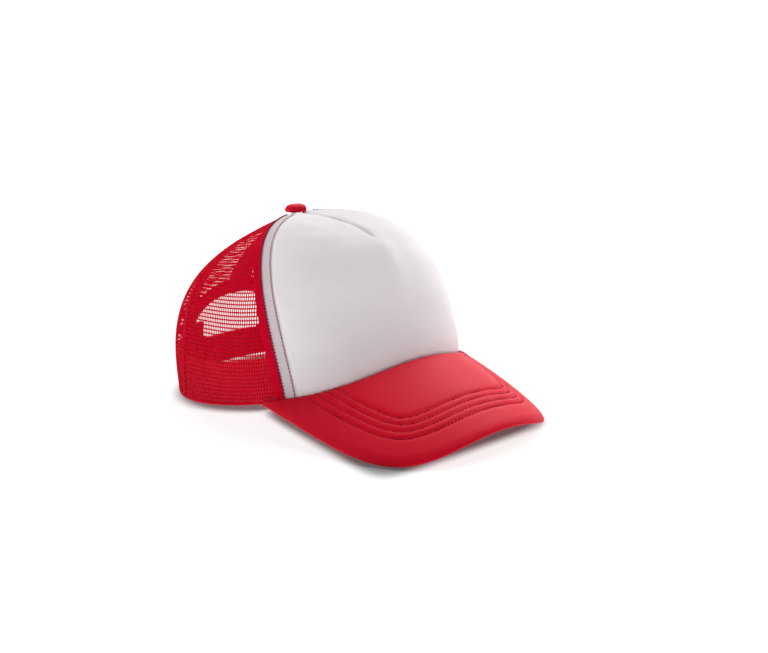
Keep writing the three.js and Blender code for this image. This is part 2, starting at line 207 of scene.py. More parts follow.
def volumeOf(points, faces):
    faces = np.asarray(faces)
    total = 0.0
    for corner in range(1, faces.shape[1] - 1):
        a, b, c = points[faces[:, 0]], points[faces[:, corner]], points[faces[:, corner + 1]]
        total += float(np.einsum("ij,ij->i", a, np.cross(b, c)).sum()) / 6
    return total


def shown(name, data):
    item = bpy.data.objects.new(name, data)
    bpy.context.scene.collection.objects.link(item)
    return item


def makeObject(name, points, faces, uv=None, sharp=50):
    mesh = bpy.data.meshes.new(name)
    mesh.from_pydata(place(points).tolist(), [], [list(map(int, face)) for face in faces])
    if uv is not None:
        layer = mesh.uv_layers.new(name="cloth")
        corners = np.empty(len(mesh.loops), dtype=np.int64)
        mesh.loops.foreach_get("vertex_index", corners)
        layer.data.foreach_set("uv", np.asarray(uv)[corners].astype(np.float32).ravel())
    mesh.polygons.foreach_set("use_smooth", [True] * len(mesh.polygons))
    mesh.set_sharp_from_angle(angle=math.radians(sharp))
    mesh.update()
    return shown(name, mesh)


def gridFaces(rows, columns, start=0):
    index = start + np.arange(rows * columns).reshape(rows, columns)
    quads = [index[:-1, :-1], index[:-1, 1:], index[1:, 1:], index[1:, :-1]]
    return np.stack([quad.ravel() for quad in quads], -1)


# Faces between rings of points that follow one another
def tubeFaces(rings, count):
    faces = []
    for level in range(rings - 1):
        low, high = level * count, (level + 1) * count
        for corner in range(count):
            after = (corner + 1) % count
            faces.append([low + corner, low + after, high + after, high + corner])
    return faces


# Closed body between an outer and an inner grid of points
def sheetBody(name, outer, inner, uv=None, sharp=50):
    rows, columns = outer.shape[:2]
    count = rows * columns
    points = np.concatenate([outer.reshape(-1, 3), inner.reshape(-1, 3)])
    index = np.arange(count).reshape(rows, columns)
    ring = np.concatenate([index[0, :-1], index[:-1, -1], index[-1, :0:-1], index[:0:-1, 0]])
    after = np.roll(ring, -1)
    walls = np.stack([after, ring, ring + count, after + count], -1)
    faces = np.concatenate([gridFaces(rows, columns), gridFaces(rows, columns, count)[:, ::-1], walls])
    if volumeOf(points, faces) < 0:
        faces = faces[:, ::-1]
    flat = clothUv(outer) if uv is None else uv
    flat = flat.reshape(-1, 2)
    return makeObject(name, points, faces, np.concatenate([flat, flat]), sharp)


def joined(name, items):
    with bpy.context.temp_override(active_object=items[0], selected_editable_objects=items):
        bpy.ops.object.join()
    items[0].name = name
    items[0].data.name = name
    return items[0]


def lineObject(name, lines, normals):
    points = np.concatenate([place(line) for line in lines])
    edges, start = [], 0
    for line in lines:
        edges += [(start + i, start + i + 1) for i in range(len(line) - 1)]
        start += len(line)
    mesh = bpy.data.meshes.new(name)
    mesh.from_pydata(points.tolist(), edges, [])
    facing = mesh.attributes.new("facing", "FLOAT_VECTOR", "POINT")
    facing.data.foreach_set("vector", np.concatenate(normals).astype(np.float32).ravel())
    return shown(name, mesh)


# Node trees

# Adds a node with its settings and its values or links. A value written as (operation, first, second)
# is worked out by a Math node of its own.
def addNode(tree, kind, settings=None, inputs=None):
    node = tree.nodes.new(kind)
    for name, value in (settings or {}).items():
        setattr(node, name, value)
    for name, value in (inputs or {}).items():
        if isinstance(value, tuple) and isinstance(value[0], str):
            value = addNode(tree, "ShaderNodeMath", {"operation": value[0]}, dict(enumerate(value[1:])))
        if isinstance(value, bpy.types.Node):
            value = value.outputs[0]
        if isinstance(value, bpy.types.NodeSocket):
            tree.links.new(value, node.inputs[name])
        else:
            node.inputs[name].default_value = value
    return node


def newShapeTree(name, sockets):
    tree = bpy.data.node_groups.new(name, "GeometryNodeTree")
    tree.interface.new_socket("Geometry", in_out="INPUT", socket_type="NodeSocketGeometry")
    for label, kind in sockets.items():
        tree.interface.new_socket(label, in_out="INPUT", socket_type="NodeSocket" + kind)
    tree.interface.new_socket("Geometry", in_out="OUTPUT", socket_type="NodeSocketGeometry")
    return tree, addNode(tree, "NodeGroupInput").outputs


def endShapeTree(tree, shape, material):
    real = addNode(tree, "GeometryNodeRealizeInstances", inputs={"Geometry": shape})
    painted = addNode(tree, "GeometryNodeSetMaterial", inputs={"Geometry": real, "Material": material})
    addNode(tree, "NodeGroupOutput", inputs={"Geometry": painted})


# Runs a tree on an object and leaves its result as a plain mesh
def grown(item, tree, values, name):
    modifier = item.modifiers.new("grow", "NODES")
    modifier.node_group = tree
    for socket in tree.interface.items_tree:
        if socket.in_out == "INPUT" and socket.name in values:
            modifier[socket.identifier] = values[socket.name]
    item.update_tag()
    graph = bpy.context.evaluated_depsgraph_get()
    mesh = bpy.data.meshes.new_from_object(item.evaluated_get(graph), depsgraph=graph)
    item.modifiers.clear()
    mesh.name = name
    made = shown(name, mesh)
    old = item.data
    bpy.data.objects.remove(item)
    bpy.data.meshes.remove(old)
    points = np.empty(len(mesh.vertices) * 3)
    mesh.vertices.foreach_get("co", points)
    mesh.calc_loop_triangles()
    corners = np.empty(len(mesh.loop_triangles) * 3, dtype=np.int32)
    mesh.loop_triangles.foreach_get("vertices", corners)
    if volumeOf(points.reshape(-1, 3), corners.reshape(-1, 3)) < 0:
        mesh.flip_normals()
    return made


# Materials

def toLinear(code):
    values = [int(code[i:i + 2], 16) / 255 for i in (1, 3, 5)]
    return tuple(v / 12.92 if v <= 0.04045 else ((v + 0.055) / 1.055) ** 2.4 for v in values) + (1.0,)


def newMaterial(name):
    material = bpy.data.materials.new(name)
    material.use_nodes = True
    material.node_tree.nodes.clear()
    return material, material.node_tree


# Colour that drifts softly between two tones, and a thread or grain relief of real size.
# Sizes of drift, grain, threads and creases are in millimetres.
def clothMaterial(name, look):
    material, tree = newMaterial(name)
    where = addNode(tree, "ShaderNodeTexCoord").outputs
    face = where["UV" if "woven" in look else "Object"]
    drift = addNode(tree, "ShaderNodeTexNoise", inputs={
        "Vector": where["Object"], "Scale": 1000 / look["drift"], "Detail": 3.0})
    height = addNode(tree, "ShaderNodeTexNoise", inputs={
        "Vector": face, "Scale": 1000 / look["grain"], "Detail": 2.0, "Roughness": 0.6}).outputs["Fac"]
    colour = addNode(tree, "ShaderNodeMix", {"data_type": "RGBA"}, {
        0: drift.outputs["Fac"], 6: toLinear(look["low"]), 7: toLinear(look["high"])}).outputs[2]
    if "woven" in look:
        split = addNode(tree, "ShaderNodeSeparateXYZ", inputs={0: face})
        turns = 2 * math.pi * 1000 / look["woven"]
        waves = [("SINE", ("MULTIPLY", split.outputs[axis], turns)) for axis in (0, 1)]
        weave = ("ADD", *[("MULTIPLY_ADD", wave, 0.25, 0.5) for wave in waves])
        height = addNode(tree, "ShaderNodeMath", {"operation": "ADD"}, {
            0: weave, 1: ("MULTIPLY", height, 0.8)})
        shade = addNode(tree, "ShaderNodeMapRange", inputs={
            "Value": height, "From Min": 0.0, "From Max": 1.4, "To Min": 1 - look["contrast"], "To Max": 1.0})
        colour = addNode(tree, "ShaderNodeMix", {"data_type": "RGBA", "blend_type": "MULTIPLY"}, {
            0: 1.0, 6: colour, 7: shade}).outputs[2]
    if "creases" in look:
        wide, tall = look["creaseSize"]
        stretched = addNode(tree, "ShaderNodeVectorMath", {"operation": "MULTIPLY"}, {
            0: where["UV"], 1: (1000 / wide, 1000 / tall, 1.0)})
        creases = addNode(tree, "ShaderNodeTexNoise", inputs={
            "Vector": stretched, "Scale": 1.0, "Detail": 3.0})
        height = ("ADD", height, ("MULTIPLY", creases.outputs["Fac"], look["creases"]))
    # the thin strip by the nets is mixed toward a darker, pinker tone: painted shade and painted red light
    # from the net behind
    if "pressed" in look:
        pressed = addNode(tree, "ShaderNodeAttribute", {"attribute_name": "pressed"}).outputs["Fac"]
        colour = addNode(tree, "ShaderNodeMix", {"data_type": "RGBA"}, {
            0: pressed, 6: colour, 7: toLinear(look["pressed"])}).outputs[2]
    bump = addNode(tree, "ShaderNodeBump", inputs={
        "Height": height, "Strength": look["relief"], "Distance": look["reliefDepth"] / 1000})
    surface = addNode(tree, "ShaderNodeBsdfPrincipled", inputs={
        "Base Color": colour, "Roughness": look["roughness"], "Normal": bump,
        "Sheen Weight": look.get("sheen", 0.0), "Sheen Roughness": 0.5,
        "IOR": look.get("ior", 1.45), "Specular IOR Level": look.get("specular", 0.3),
        "Subsurface Weight": look.get("soft", 0.0), "Subsurface Scale": 0.002,
        "Subsurface Radius": (1.0, 0.85, 0.8),
    })
    if "through" in look:
        glowing = addNode(tree, "ShaderNodeBsdfTranslucent", inputs={"Color": colour})
        surface = addNode(tree, "ShaderNodeMixShader", inputs={0: look["through"], 1: surface, 2: glowing})
    addNode(tree, "ShaderNodeOutputMaterial", inputs={"Surface": surface})
    return material


twistedThread = {"drift": 16.7, "grain": 0.286, "relief": 0.3, "reliefDepth": 0.1, "roughness": 0.7}
wovenTape = {"drift": 40, "grain": 0.5, "woven": 0.9, "contrast": 0.12, "relief": 0.4, "reliefDepth": 0.2,
             "roughness": 0.8, "specular": 0.1}
looks = {
    # knitted face of the foam, off-white with a matt fine grain; the thin strip by the nets is mixed toward a
    # darker, pinker tone as painted shade and painted red light from the net behind
    "foam_knit": {"low": "#efe9ec", "high": "#f7f3f5", "drift": 45.5, "grain": 1.0, "woven": 0.7,
                  "contrast": 0.05, "relief": 0.35, "reliefDepth": 0.15, "roughness": 0.9, "sheen": 0.2,
                  "soft": 0.1, "creases": 2.5, "creaseSize": (11.1, 1.54), "pressed": "#d6ccd0"},
    # polyester net, saturated red with a little shine on the cords
    "net_cord": {"low": "#ec0230", "high": "#f6083a", "drift": 33.3, "grain": 0.4, "relief": 0.3,
                 "reliefDepth": 0.15, "roughness": 0.6, "specular": 0.04, "through": 0.45},
    # visor cloth over its board, brighter and smoother than the net
    "visor_cloth": {"low": "#e40428", "high": "#ec0930", "drift": 55.6, "grain": 1.0, "woven": 0.5,
                    "contrast": 0.16, "relief": 0.4, "reliefDepth": 0.12, "roughness": 0.5, "specular": 0.14},
    # tapes and binding, plain red tape cloth
    "tape_cloth": {**wovenTape, "low": "#e81638", "high": "#f02242"},
    # sweatband, a lighter red cloth that shows bright through the net
    "band_cloth": {**wovenTape, "low": "#f44a5a", "high": "#fa5666"},
    # moulded strap, smooth with a soft gloss
    "strap_plastic": {"low": "#e00a2c", "high": "#e61034", "drift": 83.3, "grain": 1.11, "relief": 0.08,
                      "reliefDepth": 0.1, "roughness": 0.42, "ior": 1.49, "through": 0.15},
    # red thread of the stitches, with a faint sheen
    "red_thread": {**twistedThread, "low": "#b3152a", "high": "#c21c31", "roughness": 0.6, "sheen": 0.1},
    # twisted edging where the nets meet the foam, deep crimson
    "edging_thread": {**twistedThread, "low": "#a00a2a", "high": "#b41034", "specular": 0.1},
    # pale thread on the foam
    "pale_thread": {**twistedThread, "low": "#d9cfd2", "high": "#e4dcde"},
}
materials = {name: clothMaterial(name, look) for name, look in looks.items()}

# Lit white table with an even glow. Painted shadow: the glow drops in a rounded box under the visor (narrower
# behind) and in a patch under the crown. Painted side light: beyond sideFrom the table glows brighter beside
# the cap and lights its sides.
table = {
    "low": "#8c8c8c", "high": "#939393", "drift": 333, "glow": 0.84, "paintedShadowGlow": 0.08, "fade": (0.91, 1.09),
    "paintedSideLight": 1.9, "sideFrom": (150, 300),
    # outlines of the painted shadow under the visor and under the crown
    "visor": {"centre": -8, "middle": -43, "halfLength": 70, "halfWidth": 55, "taper": -0.2, "corner": 8},
    "crown": {"centre": 0, "middle": 65, "halfLength": 55, "halfWidth": 82, "taper": 0.0, "corner": 2},
}


def tableMaterial():
    material, tree = newMaterial("lit_table")
    where = addNode(tree, "ShaderNodeTexCoord").outputs["Object"]
    drift = addNode(tree, "ShaderNodeTexNoise", inputs={"Vector": where, "Scale": 1000 / table["drift"]})
    tone = addNode(tree, "ShaderNodeMix", {"data_type": "RGBA"}, {
        0: drift.outputs["Fac"], 6: toLinear(table["low"]), 7: toLinear(table["high"])})
    x, y = addNode(tree, "ShaderNodeSeparateXYZ", inputs={0: where}).outputs[:2]
    reaches = []
    # painted shadow: how far each point lies toward the edge of the box under the visor and of the patch
    # under the crown
    for shade in (table["visor"], table["crown"]):
        width = ("MULTIPLY_ADD", y, shade["taper"], shade["halfWidth"] / 1000)
        across = ("DIVIDE", ("ABSOLUTE", ("SUBTRACT", x, shade["centre"] / 1000)), width)
        along = ("DIVIDE", ("ABSOLUTE", ("SUBTRACT", y, shade["middle"] / 1000)), shade["halfLength"] / 1000)
        powers = [("POWER", share, float(shade["corner"])) for share in (across, along)]
        reaches.append(("POWER", ("ADD", *powers), 1 / shade["corner"]))
    # the glow falls to its low value inside the painted shadow, and rises beyond sideFrom as painted side
    # light
    ramps = (
        (("MINIMUM", *reaches), table["fade"], (table["paintedShadowGlow"], table["glow"])),
        (("ABSOLUTE", x), [distance / 1000 for distance in table["sideFrom"]], (0.0, table["paintedSideLight"])),
    )
    glows = [addNode(tree, "ShaderNodeMapRange", {"interpolation_type": "SMOOTHSTEP"}, {
        "Value": reach, "From Min": span[0], "From Max": span[1], "To Min": glow[0], "To Max": glow[1],
    }) for reach, span, glow in ramps]
    shader = addNode(tree, "ShaderNodeBsdfPrincipled", inputs={
        "Base Color": tone.outputs[2], "Roughness": 0.9, "IOR": 1.45, "Specular IOR Level": 0.2,
        "Emission Color": (1, 1, 1, 1), "Emission Strength": ("ADD", *glows),
    })
    addNode(tree, "ShaderNodeOutputMaterial", inputs={"Surface": shader})
    return material


def finished(item, material=None, slot=None, *nodes):
    if material:
        item.data.materials.clear()
        item.data.materials.append(materials[material])
    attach(item, "root")
    if nodes:
        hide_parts(*nodes)


print("materials made")

# Rows of stitches, made by one tree along any set of lines

def makeStitchTree():
    tree, given = newShapeTree("stitch_rows", {
        "Pitch": "Float", "Length": "Float", "Width": "Float", "Height": "Float", "Material": "Material",
    })
    line = addNode(tree, "GeometryNodeMeshToCurve", inputs={"Mesh": given["Geometry"]})
    spaced = addNode(tree, "GeometryNodeResampleCurve", {"mode": "LENGTH"}, {
        "Curve": line, "Length": given["Pitch"]})
    facing = addNode(tree, "GeometryNodeInputNamedAttribute", {"data_type": "FLOAT_VECTOR"}, {
        "Name": "facing"})
    turn = addNode(tree, "FunctionNodeAxesToRotation", {"primary_axis": "Z", "secondary_axis": "X"}, {
        0: facing, 1: addNode(tree, "GeometryNodeInputTangent")})
    bead = addNode(tree, "GeometryNodeMeshUVSphere", inputs={"Segments": 8, "Rings": 6, "Radius": 0.5})
    size = addNode(tree, "ShaderNodeCombineXYZ", inputs={
        0: given["Length"], 1: given["Width"], 2: given["Height"]})
    rows = addNode(tree, "GeometryNodeInstanceOnPoints", inputs={
        "Points": spaced, "Instance": bead, "Rotation": turn, "Scale": size})
    real = addNode(tree, "GeometryNodeRealizeInstances", inputs={"Geometry": rows})
    even = addNode(tree, "GeometryNodeSetShadeSmooth", inputs={"Geometry": real})
    endShapeTree(tree, even, given["Material"])
    return tree


stitchTree = makeStitchTree()


def sew(name, lines, normals, stitch):
    guide = lineObject(name + "_line", lines, normals)
    values = {label: stitch[label.lower()] / 1000 for label in ("Pitch", "Length", "Width", "Height")}
    finished(grown(guide, stitchTree, {**values, "Material": materials[stitch["thread"]]}, name))


# Foam front

foam = {
    "stripWidth": 7.8, "stripArcShare": 0.31, "stripDrop": 0.5, "stripFade": 1.3,
    "edgeRound": 0.5, "edgeRoundWidth": 0.9, "grooveDepth": 1.75, "grooveSide": 0.8, "faceRound": 3.4,
    "rimRound": 2.1, "rimRoundRise": 0.055, "stripRimShare": 0.25, "hemDrop": 1.6,
    "dartDepth": 2.0, "dartHalfWidth": 1.3, "dartEnd": 0.585, "dartFade": 0.07,
    "lip": 0.25, "lipAway": 7, "lipHalfWidth": 5,
    "ridge": 1.9, "ridgeHalfWidth": 10.5, "ridgeStart": (0.08, 0.45), "ridgeEnd": (0.5, 0.68),
    "wrinkle": 0.44, "wrinkleSeed": 7, "wrinkleWaves": 9,
    "seamPull": 0.28, "seamPullPitch": 16, "seamPullReach": 6, "seamLength": 117,
    "fineReach": 1.8, "edgeColumns": 46, "mainColumns": 52, "rimRows": 18, "rows": 150,
}


def foamFront():
    rng = np.random.default_rng(foam["wrinkleSeed"])
    rimTop = foam["rimRoundRise"] * 1.2
    climbs = np.linspace(rimTop, 1, foam["rows"])[1:]
    climbs = np.concatenate([np.linspace(0, rimTop, foam["rimRows"]), climbs])
    climbs = (climbs * climbAtRadius(0.0, crown["poleHole"]))[:, None]
    steps = np.linspace(0, foam["fineReach"], foam["edgeColumns"])
    steps = np.concatenate([steps, np.full(foam["mainColumns"], foam["fineReach"])])
    keep = np.concatenate([np.ones(foam["edgeColumns"]), np.linspace(1, 0, foam["mainColumns"] + 1)[1:]])
    turn = np.concatenate([np.ones(len(steps)), -np.ones(len(steps) - 1)])
    steps = np.concatenate([steps, steps[-2::-1]])[None]
    keep = np.concatenate([keep, keep[-2::-1]])[None]
    seam = frontSeam(climbs)
    around = poleDistance(seam, climbs)
    strip = np.minimum(foam["stripWidth"], foam["stripArcShare"] * seam * around)
    angle = (seam - (seams["gap"] / 2 + steps * strip) / around) * keep * turn[None]
    scale = strip / foam["stripWidth"]
    away = steps * foam["stripWidth"] + np.zeros_like(climbs)

    # strip, groove and swelling of the face beside it
    width, side, swell = foam["stripWidth"], foam["grooveSide"], foam["faceRound"]
    edge = foam["edgeRound"] * np.clip(1 - away / foam["edgeRoundWidth"], 0, 1) ** 2
    fall = smooth(away, width - side, width)
    lift = np.clip((away - width) / swell, 0, 1)
    face = foam["grooveDepth"] * (1 - np.sqrt(1 - (1 - lift) ** 2))
    sunk = mix(foam["stripDrop"] + edge, foam["grooveDepth"], fall)
    relief = np.where(away < width, sunk, face) * np.minimum(1, scale * foam["stripFade"])

    # rounded lower edge tucked into the visor seam
    low = np.clip(1 - climbs / foam["rimRoundRise"], 0, 1)
    thin = 1 - smooth(away, width, width * 1.4)
    tuck = foam["rimRound"] * (1 - np.sqrt(1 - low ** 2)) * mix(1, foam["stripRimShare"], thin)

    # dart from the button down, and the soft ridge that runs on below its end
    x = angle * poleDistance(angle, climbs)
    sewn = smooth(climbs, foam["dartEnd"], foam["dartEnd"] + foam["dartFade"])
    dart = foam["dartDepth"] * np.exp(-np.abs(x) / foam["dartHalfWidth"])
    dart = sewn * (dart - foam["lip"] * np.exp(-((np.abs(x) - foam["lipAway"]) / foam["lipHalfWidth"]) ** 2))
    ridge = foam["ridge"] * np.exp(-(x / foam["ridgeHalfWidth"]) ** 2)
    ridge = ridge * smooth(climbs, *foam["ridgeStart"]) * (1 - smooth(climbs, *foam["ridgeEnd"]))

    # slack of the foam, and small pulls along the seam
    slack = 0
    for _ in range(foam["wrinkleWaves"]):
        across, up, start = rng.uniform(2, 9), rng.uniform(2, 8), rng.uniform(0, 6.3)
        slack = slack + np.sin(across * angle * 2 + up * climbs * 6 + start) / foam["wrinkleWaves"]
    main = smooth(away, width * 1.2, width * 1.8)
    beat = 2 * np.pi * climbs * foam["seamLength"] / foam["seamPullPitch"]
    pull = np.exp(-np.maximum(away - width, 0) / foam["seamPullReach"])
    pull = np.sin(beat + 2 * np.sin(climbs * 9)) * pull
    slack = foam["wrinkle"] * slack * main * smooth(climbs, 0.02, 0.12)
    slack = slack + foam["seamPull"] * pull * smooth(away, width, width + 2)

    outer = skinPoint(angle, climbs + 0 * angle, relief + tuck + dart - ridge + slack)
    body = mix(cloth["foamThickness"], cloth["netDrop"] + cloth["netThickness"], thin)
    inner = skinPoint(angle, climbs + 0 * angle, body + 0 * angle)
    # the lowest edge hangs a little way down inside the visor's inner edge, so no light shows at the seam
    for skin in (outer, inner):
        skin[..., 2] -= foam["hemDrop"] * low ** 3
    panel = sheetBody("foam_front", outer, inner, sharp=60)
    # a mark on the thin strip, for the painted shade and painted red light in the foam's colour
    pressed = panel.data.attributes.new("pressed", "FLOAT", "POINT")
    pressed.data.foreach_set("value", np.tile((thin + 0 * angle).ravel(), 2).astype(np.float32))
    finished(panel, "foam_knit", "foam_cloth", "front_panel")
    return angle, climbs, away, outer


frontGrid = foamFront()
print("foam front made")


# fine topstitch on the strip, thread down in the groove and edging along the seam
foamRows = {
    "strip_stitches": {"away": 1.7, "proud": 0.05, "pitch": 2.3, "length": 1.6, "width": 0.35, "height": 0.3,
                       "thread": "pale_thread"},
    "groove_stitches": {"away": 7.1, "proud": 0.1, "pitch": 2.3, "length": 1.7, "width": 0.45, "height": 0.45,
                        "thread": "red_thread"},
    "seam_edging": {"away": 0.0, "proud": 0.9, "pitch": 2.1, "length": 2.0, "width": 2.3, "height": 1.0,
                    "thread": "edging_thread"},
}


def foamStitches():
    angle, climbs, away, outer = frontGrid
    last = away.shape[1] - 1
    sewn = slice(2, -8)
    for name, stitch in foamRows.items():
        near = int(np.argmin(np.abs(away[0, :last // 2] - stitch["away"])))
        lines, normals = [], []
        for column in (near, last - near):
            normal = crownNormal(angle[sewn, column], climbs[sewn, 0])
            lines.append(outer[sewn, column] + normal * stitch["proud"])
            normals.append(normal)
        sew(name, lines, normals, stitch)


foamStitches()

# Nets, made by one tree from a guide of each panel

net = {
    "pitch": 1.85, "rowPitch": 2.5, "stagger": 0.12, "holeWidth": 1.12, "holeHeight": 2.05,
    "thickness": 0.32, "lean": 0.12, "waist": 0.6,
    "frontHem": 5.0, "rimHem": 1.5, "archHem": 2.6, "hemProud": 0.22, "seamHem": 1.8, "seamProud": 0.1,
}


# Lays the openings' cells out flat, keeps those on the panel, thickens them and lays them on the crown
def makeNetTree():
    tree, given = newShapeTree("net_cloth", {
        "Columns": "Int", "Rows": "Int", "Pitch": "Float", "Row Pitch": "Float", "Stagger": "Float",
        "Middle": "Vector", "Hole Width": "Float", "Hole Height": "Float", "Thickness": "Float",
        "Lean": "Float", "Waist": "Float", "Material": "Material",
    })
    mergeWithin = 0.00002
    onPoints = {"data_type": "FLOAT", "domain": "POINT"}
    spots = addNode(tree, "GeometryNodeMeshGrid", inputs={
        "Size X": ("MULTIPLY", ("SUBTRACT", given["Columns"], 1.0), given["Pitch"]),
        "Size Y": ("MULTIPLY", ("SUBTRACT", given["Rows"], 1.0), given["Row Pitch"]),
        "Vertices X": given["Columns"], "Vertices Y": given["Rows"]})
    oddRow = ("MODULO", ("MODULO", addNode(tree, "GeometryNodeInputIndex"), given["Rows"]), 2.0)
    stagger = addNode(tree, "ShaderNodeCombineXYZ", inputs={
        0: ("MULTIPLY", ("MULTIPLY", oddRow, given["Stagger"]), given["Pitch"])})
    bricks = addNode(tree, "GeometryNodeSetPosition", inputs={"Geometry": spots, "Offset": stagger})
    # one opening: a ring of eight corners grown outward to the edges of its cell
    ring = addNode(tree, "GeometryNodeMeshCircle", inputs={"Vertices": 8, "Radius": 1.0})
    marked = addNode(tree, "GeometryNodeStoreNamedAttribute", onPoints, {
        "Geometry": ring, "Name": "rim", "Value": 1.0})
    cell = addNode(tree, "GeometryNodeExtrudeMesh", {"mode": "EDGES"}, {
        "Mesh": marked, "Offset": addNode(tree, "ShaderNodeCombineXYZ"), "Offset Scale": 0.0})
    unmarked = addNode(tree, "GeometryNodeStoreNamedAttribute", onPoints, {
        "Geometry": cell.outputs["Mesh"], "Selection": cell.outputs["Top"], "Name": "rim", "Value": 0.0})
    here = addNode(tree, "GeometryNodeInputPosition")
    x, y, level = addNode(tree, "ShaderNodeSeparateXYZ", inputs={0: here}).outputs
    longest = addNode(tree, "ShaderNodeMath", {"operation": "MAXIMUM"}, {
        0: ("ABSOLUTE", x), 1: ("ABSOLUTE", y)})
    atEdge = [("MULTIPLY", ("DIVIDE", part, longest), ("MULTIPLY", given[label], 0.5))
              for part, label in ((x, "Pitch"), (y, "Row Pitch"))]
    atHole = [("MULTIPLY", part, ("MULTIPLY", given[label], 0.5))
              for part, label in ((x, "Hole Width"), (y, "Hole Height"))]
    atHole[0] = ("ADD", atHole[0], ("MULTIPLY", atHole[1], given["Lean"]))
    rimMark = addNode(tree, "GeometryNodeInputNamedAttribute", {"data_type": "FLOAT"}, {"Name": "rim"})
    spot = addNode(tree, "ShaderNodeMix", {"data_type": "VECTOR"}, {
        0: rimMark,
        4: addNode(tree, "ShaderNodeCombineXYZ", inputs=dict(enumerate(atEdge))),
        5: addNode(tree, "ShaderNodeCombineXYZ", inputs=dict(enumerate(atHole))),
    })
    opening = addNode(tree, "GeometryNodeSetPosition", inputs={
        "Geometry": unmarked, "Position": spot.outputs[1]})
    cells = addNode(tree, "GeometryNodeInstanceOnPoints", inputs={"Points": bricks, "Instance": opening})
    real = addNode(tree, "GeometryNodeRealizeInstances", inputs={"Geometry": cells})
    flatNet = addNode(tree, "GeometryNodeMergeByDistance", inputs={"Geometry": real, "Distance": mergeWithin})
    centred = addNode(tree, "GeometryNodeSetPosition", inputs={
        "Geometry": flatNet, "Offset": given["Middle"]})
    # keep the cells that lie on the panel, then give the flat net its thickness
    flatPlace, facing = [addNode(tree, "GeometryNodeInputNamedAttribute", {"data_type": "FLOAT_VECTOR"}, {
        "Name": name}) for name in ("cloth", "facing")]
    onPanel, outward = [addNode(tree, "GeometryNodeSampleUVSurface", {"data_type": "FLOAT_VECTOR"}, {
        "Mesh": given["Geometry"], "Value": value, "Source UV Map": flatPlace, "Sample UV": here,
    }) for value in (here, facing)]
    tested = addNode(tree, "GeometryNodeStoreNamedAttribute", onPoints, {
        "Geometry": centred, "Name": "inside", "Value": onPanel.outputs["Is Valid"]})
    whole = addNode(tree, "GeometryNodeInputNamedAttribute", {"data_type": "FLOAT"}, {"Name": "inside"})
    partly = addNode(tree, "FunctionNodeCompare", {"data_type": "FLOAT", "operation": "LESS_THAN"}, {
        0: whole, 1: 0.99})
    kept = addNode(tree, "GeometryNodeDeleteGeometry", {"domain": "FACE", "mode": "ALL"}, {
        "Geometry": tested, "Selection": partly})
    raised = addNode(tree, "GeometryNodeExtrudeMesh", {"mode": "FACES"}, {
        "Mesh": kept, "Offset": addNode(tree, "ShaderNodeCombineXYZ", inputs={2: given["Thickness"]}),
        "Offset Scale": 1.0, "Individual": False})
    under = addNode(tree, "GeometryNodeFlipFaces", inputs={"Mesh": kept})
    both = addNode(tree, "GeometryNodeJoinGeometry")
    for skin in (raised, under):
        tree.links.new(skin.outputs[0], both.inputs[0])
    solid = addNode(tree, "GeometryNodeMergeByDistance", inputs={"Geometry": both, "Distance": mergeWithin})
    # thin the cords toward each opening and lay everything on the crown
    middle = ("SUBTRACT", ("MULTIPLY", given["Thickness"], 0.5), level)
    thinned = ("ADD", level, ("MULTIPLY", middle, ("MULTIPLY", rimMark, given["Waist"])))
    lift = addNode(tree, "ShaderNodeVectorMath", {"operation": "SCALE"}, {
        0: outward, "Scale": ("SUBTRACT", thinned, given["Thickness"])})
    onCrown = addNode(tree, "ShaderNodeVectorMath", {"operation": "ADD"}, {0: onPanel, 1: lift})
    laid = addNode(tree, "GeometryNodeSetPosition", inputs={"Geometry": solid, "Position": onCrown})
    endShapeTree(tree, laid, given["Material"])
    return tree


netTree = makeNetTree()


# Guide of a panel: its outside with flat coordinates whose rows follow the rim
def netPanel(name, angle, climb, midline, flips):
    points = skinPoint(angle, climb, cloth["netDrop"] + 0 * angle)
    along = np.linspace(0, 1, 25)
    centre = midline(climb)
    turns = centre[..., None] + (angle - centre)[..., None] * along
    path = crownPoint(turns, climb[..., None] + 0 * along)
    across = np.linalg.norm(np.diff(path, axis=-2), axis=-1).sum(-1) * np.sign(angle - centre) * flips
    fine = np.linspace(0, 1, 400)
    meridian = crownPoint(midline(fine), fine)
    length = np.concatenate([[0], np.cumsum(np.linalg.norm(np.diff(meridian, axis=0), axis=-1))])
    up = np.interp(climb, fine, length)
    uv = np.stack([across, up], -1) / 1000
    guide = makeObject(name + "_guide", points.reshape(-1, 3), gridFaces(*angle.shape), uv.reshape(-1, 2))
    facing = guide.data.attributes.new("facing", "FLOAT_VECTOR", "POINT")
    facing.data.foreach_set("vector", crownNormal(angle, climb).astype(np.float32).ravel())
    lowest, highest = uv.min((0, 1)), uv.max((0, 1))
    middle = (lowest + highest) / 2
    values = {
        "Columns": int(np.ptp(uv[..., 0]) * 1000 / net["pitch"]) + 3,
        "Rows": int(np.ptp(uv[..., 1]) * 1000 / net["rowPitch"]) + 3,
        "Middle": (float(middle[0]), float(middle[1]), 0.0),
        "Material": materials["net_cord"],
    }
    values.update({label: net[label.lower()] for label in ("Lean", "Stagger", "Waist")})
    lengths = {"Pitch": "pitch", "Row Pitch": "rowPitch", "Hole Width": "holeWidth",
               "Hole Height": "holeHeight", "Thickness": "thickness"}
    values.update({label: net[key] / 1000 for label, key in lengths.items()})
    size = tuple(float(span) for span in highest - lowest)
    return grown(guide, netTree, values, name), points, size


